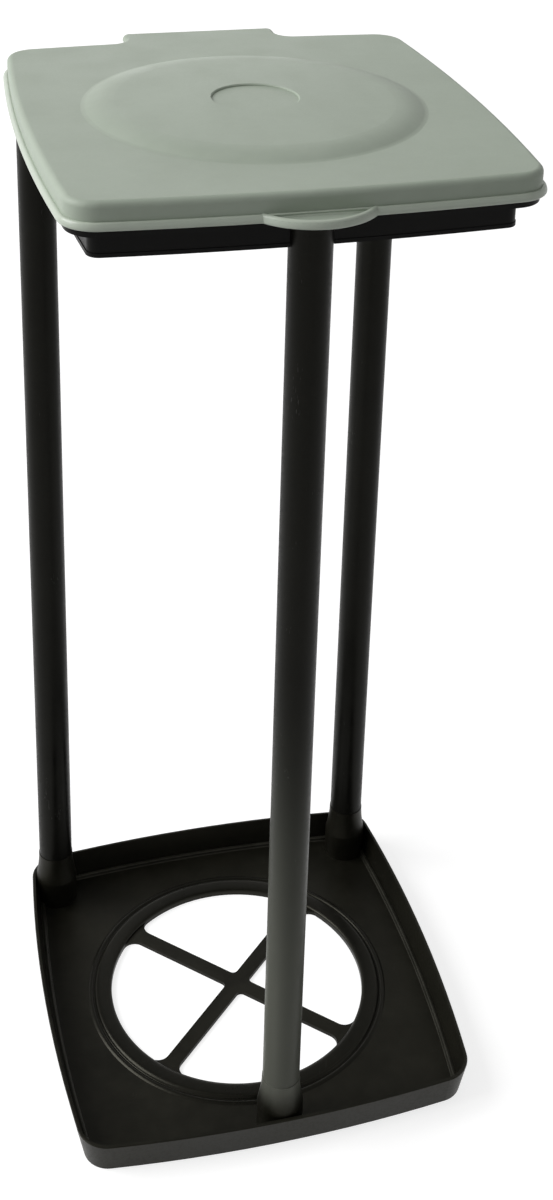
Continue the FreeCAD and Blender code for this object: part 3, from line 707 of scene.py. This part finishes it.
@dataclass(frozen=True)
class BowedOutline:
    """A piece's outline seen from above: bowed sides, round corners."""

    half_width: float
    half_depth: float
    side_bow: float
    end_bow: float
    corner: float
    middle: float = 0.0
    spacing: float = 0.003
    fewest: int = 6

    def loop(self) -> list[tuple[Vector, Vector]]:
        """Walk round the outline.

        Returns:
            Points on it, each with the way out.
        """
        side = self.radius(self.half_depth - self.end_bow, self.side_bow)
        end = self.radius(self.half_width - self.side_bow, self.end_bow)
        left = side - self.half_width
        down = end - self.half_depth
        across, along = self.corner_centre(side, end, left, down)
        low = math.atan2(along, across + left)
        high = math.atan2(along + down, across)
        arcs = []
        for turn, sign in ((0.0, 1), (math.pi, -1)):
            back = turn + math.pi
            arcs += [
                ((-left * sign, 0.0), side, turn - low, turn + low),
                ((across * sign, along * sign), self.corner, turn + low, turn + high),
                ((0.0, -down * sign), end, turn + high, back - high),
                ((-across * sign, along * sign), self.corner, back - high, back - low),
            ]
        walk = []
        for (centre_x, centre_y), radius, start, stop in arcs:
            count = max(self.fewest, round(radius * (stop - start) / self.spacing))
            for index in range(count):
                out = way_out(start + (stop - start) * index / count)
                walk.append((Vector((centre_x, centre_y + self.middle, 0.0)) + out * radius, out))
        return walk

    def radius(self, half_chord: float, bow: float) -> float:
        """Return the radius of an arc from half its chord and its bow."""
        return (half_chord ** 2 + bow ** 2) / (2 * bow)

    def corner_centre(self, side: float, end: float, left: float,
                      down: float) -> tuple[float, float]:
        """Find the circle that touches a side and an end from inside.

        Args:
            side: the radius of the sides.
            end: the radius of the ends.
            left: how far a side's centre lies past the middle.
            down: how far an end's centre lies past the middle.

        Returns:
            The circle's centre, across and along.
        """
        near = side - self.corner
        far = end - self.corner
        offset = (near ** 2 - far ** 2 - left ** 2 + down ** 2) / 2
        slope = down / left
        shift = offset / left + left
        square = slope ** 2 + 1
        half = slope * shift
        along = (-half + math.sqrt(half ** 2 - square * (shift ** 2 - near ** 2))) / square
        return slope * along + offset / left, along

    def roll(self, name: str, foot: float, section: Section) -> bpy.types.Object:
        """Sweep a section round the outline.

        Args:
            name: the new piece's name.
            foot: the height that the section's heights count from.
            section: points in millimetres, out from the outline and up from the foot.

        Returns:
            The closed roll.
        """
        rails = [section_at(point, out, foot, section) for point, out in self.loop()]
        return sweep(name, rails, closed=True)


LIP_FOOT = 0.8633
LID_OUTLINE = BowedOutline(
    half_width=0.1815,
    half_depth=0.1910,
    side_bow=0.0091,
    end_bow=0.0074,
    corner=0.0270,
    middle=0.0043,
)
BASE_OUTLINE = BowedOutline(
    half_width=0.18399,
    half_depth=0.1878,
    side_bow=0.0112,
    end_bow=0.0110,
    corner=0.0280,
)


@dataclass(frozen=True)
class LedgeRoll:
    """Rolled edge of the ledge inside the tray's rim; it runs into the sockets and out again."""

    section: Section = (
        (-8.40, 6.95), (-8.80, 7.22), (-9.40, 7.44), (-10.05, 7.52), (-10.65, 7.40),
        (-11.12, 7.08), (-11.42, 6.58), (-11.54, 5.95), (-11.58, 5.20), (-11.70, 4.40),
        (-12.05, 3.72), (-12.60, 3.45),
    )

    def build(self) -> None:
        """Sweep the section round the inside of the rim."""
        piece = BASE_OUTLINE.roll("ledge_roll", 0.0, self.section)
        # The ledge roll's lighter tone is a painted highlight.
        settle(piece, "stand", PAINTED_HIGHLIGHT_EDGE)


@dataclass(frozen=True)
class LipRoll:
    """Rolled edge along the lid's lip."""

    foot: float = LIP_FOOT
    section: Section = (
        (-0.60, -0.04), (0.10, -0.02), (0.46, 0.22), (0.74, 0.66), (0.86, 1.25), (0.84, 1.95),
        (0.70, 2.75), (0.44, 3.60), (0.08, 4.45), (-0.38, 5.15), (-0.98, 5.60), (-1.70, 5.78),
        (-2.40, 5.70), (-3.00, 5.45),
    )

    def build(self) -> None:
        """Sweep the section round the lid."""
        piece = LID_OUTLINE.roll("lip_roll", self.foot, self.section)
        # The lip roll's lighter tone is a painted highlight.
        settle(piece, "lid", PAINTED_HIGHLIGHT_LIP)


@dataclass(frozen=True)
class FingerRoll:
    """Rolled rim round the finger tab, from lip to lip."""

    radius: float = 0.0525
    centre: float = -0.1527
    ends: float = -0.1845
    foot: float = LIP_FOOT
    steps: int = 60
    section: Section = (
        (-0.60, -0.04), (0.05, -0.02), (0.30, 0.30), (0.44, 0.90), (0.46, 1.80), (0.36, 2.90),
        (0.14, 3.95), (-0.20, 4.90), (-0.78, 5.60), (-1.60, 6.02), (-2.50, 6.14), (-3.40, 5.96),
        (-4.15, 5.48), (-4.62, 4.72), (-4.74, 3.90), (-4.76, 3.10),
    )

    def build(self) -> None:
        """Sweep the section along the tab's round front."""
        half = math.acos((self.centre - self.ends) / self.radius)
        middle = Vector((0.0, self.centre, 0.0))
        rails = []
        for step in range(self.steps + 1):
            out = way_out(-math.pi / 2 - half + 2 * half * step / self.steps)
            rails.append(section_at(middle + out * self.radius, out, self.foot, self.section))
        piece = sweep("finger_roll", rails, closed=False)
        # The finger roll's lighter tone is a painted highlight.
        settle(piece, "lid", PAINTED_HIGHLIGHT_LIP)


@dataclass
class Stand:
    """What stays still: the base, the legs, the bag ring and the hinge rod."""

    nodes: dict[str, bpy.types.Object]
    rear_legs: tuple[str, ...] = ("rear_left_leg", "rear_right_leg")
    hole_roll: HoleRoll = field(default_factory=HoleRoll)
    ledge_roll: LedgeRoll = field(default_factory=LedgeRoll)

    def dress(self) -> None:
        """Finish the base, the legs, the ring and the rod, and roll the tray's edges."""
        repaint(self.nodes["base"], BLACK_MOULDING)
        # The front leg's finish has painted light towards its foot.
        repaint(self.nodes["front_leg"], PAINTED_LIGHT_TUBE)
        for leg in self.rear_legs:
            repaint(self.nodes[leg], PAINTED_TUBE)
        repaint(self.nodes["bag_ring"], RING_MOULDING)
        repaint(self.nodes["hinge_rod"], DRAWN_STEEL)
        self.hole_roll.build()
        self.ledge_roll.build()


@dataclass
class Lid:
    """The lid that turns about the rod."""

    nodes: dict[str, bpy.types.Object]
    lip_roll: LipRoll = field(default_factory=LipRoll)
    finger_roll: FingerRoll = field(default_factory=FingerRoll)

    def dress(self) -> None:
        """Finish the lid, and roll its lip and the edge of its finger tab."""
        repaint(self.nodes["lid"], GREEN_GREY_MOULDING)
        self.lip_roll.build()
        self.finger_roll.build()


# Studio

@dataclass(frozen=True)
class SoftLamp:
    """One area lamp: where it hangs, what it looks at and how strong it is."""

    name: str
    place: tuple[float, float, float]
    target: tuple[float, float, float]
    width: float
    power: float

    def build(self) -> None:
        """Hang the lamp."""
        lamp = bpy.data.lights.new(self.name, "AREA")
        lamp.size = self.width
        lamp.energy = self.power
        holder = bpy.data.objects.new(self.name, lamp)
        holder.location = self.place
        toward = Vector(self.target) - Vector(self.place)
        holder.rotation_euler = toward.to_track_quat("-Z", "Y").to_euler()
        bpy.context.scene.collection.objects.link(holder)


@dataclass
class Studio:
    """White paper, pale light from all sides and two soft lamps.

    The paper runs from the floor up to a low round wall.
    """

    sheet_radius: float = 7.0
    sheet_height: float = 4.2
    sheet_cove: float = 1.2
    sheet_middle: float = 0.001
    cove_steps: int = 8
    sheet_steps: int = 96
    paper_tone: Colour = (0.46, 0.46, 0.46)
    paper_lift: float = 0.75
    surroundings: float = 0.33
    lamps: tuple[SoftLamp, ...] = field(default_factory=lambda: (
        SoftLamp("left_lamp", (-4.9, 1.0, 4.0), (0.0, 0.0, 0.6), 4.2, 376.0),
        SoftLamp("rear_lamp", (0.8, 5.2, 1.9), (0.0, 0.0, 0.8), 1.6, 14.0),
    ))

    def build(self) -> None:
        """Lay the sheet, colour the world, hang the lamps and set the view's transform."""
        self.lay_sheet()
        self.surround()
        for lamp in self.lamps:
            lamp.build()
        bpy.context.scene.view_settings.view_transform = "Standard"
        log.info("studio: sheet, surroundings and %d lamps", len(self.lamps))

    def lay_sheet(self) -> None:
        """Lay a white sheet that keeps the object's shadow and looks white to the camera."""
        profile = [(self.sheet_middle, 0.0), (self.sheet_radius - self.sheet_cove, 0.0)]
        for step in range(1, self.cove_steps + 1):
            turn = math.pi / 2 * step / self.cove_steps
            profile.append((
                self.sheet_radius - self.sheet_cove * (1 - math.sin(turn)),
                self.sheet_cove * (1 - math.cos(turn)),
            ))
        profile.append((self.sheet_radius, self.sheet_height))
        rails = []
        for step in range(self.sheet_steps):
            turn = math.tau * step / self.sheet_steps
            rails.append([Vector((r * math.cos(turn), r * math.sin(turn), z)) for r, z in profile])
        sheet = sweep("studio_sheet", rails, closed=True)
        sheet.data.materials.append(self.paper())

    def paper(self) -> bpy.types.Material:
        """Make the sheet's matt white, lifted for rays that show it.

        Returns:
            The paper's material.
        """
        material = bpy.data.materials.new("studio_paper")
        material.use_nodes = True
        material.node_tree.nodes.clear()
        wiring = Wiring(material.node_tree)
        matt = wiring.add("BsdfDiffuse", {"Color": self.paper_tone})
        path = wiring.add("LightPath")
        shown = wiring.sum("MAXIMUM", path.outputs["Is Camera Ray"], path.outputs["Is Glossy Ray"])
        shown = wiring.sum("MAXIMUM", shown, path.outputs["Is Transmission Ray"])
        glow = wiring.add("Emission", {"Strength": wiring.sum("MULTIPLY", shown, self.paper_lift)})
        both = wiring.add("AddShader", {0: matt.outputs[0], 1: glow.outputs[0]})
        output = wiring.add("OutputMaterial")
        wiring.feed(output, "Surface", both.outputs[0])
        return material

    def surround(self) -> None:
        """Give the world a plain pale light from all sides."""
        world = bpy.data.worlds.new("studio_world")
        world.use_nodes = True
        world.node_tree.nodes.clear()
        wiring = Wiring(world.node_tree)
        light = wiring.add("Background", {"Color": (1.0, 1.0, 1.0), "Strength": self.surroundings})
        output = wiring.add("OutputWorld")
        wiring.feed(output, "Surface", light.outputs[0])
        bpy.context.scene.world = world


def main() -> None:
    """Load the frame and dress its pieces."""
    logging.basicConfig(level=logging.INFO, format="%(name)s %(message)s")
    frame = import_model()
    Viewpoint().build()
    Studio().build()
    Stand(frame["nodes"]).dress()
    Lid(frame["nodes"]).dress()


if __name__ == "__main__":
    main()
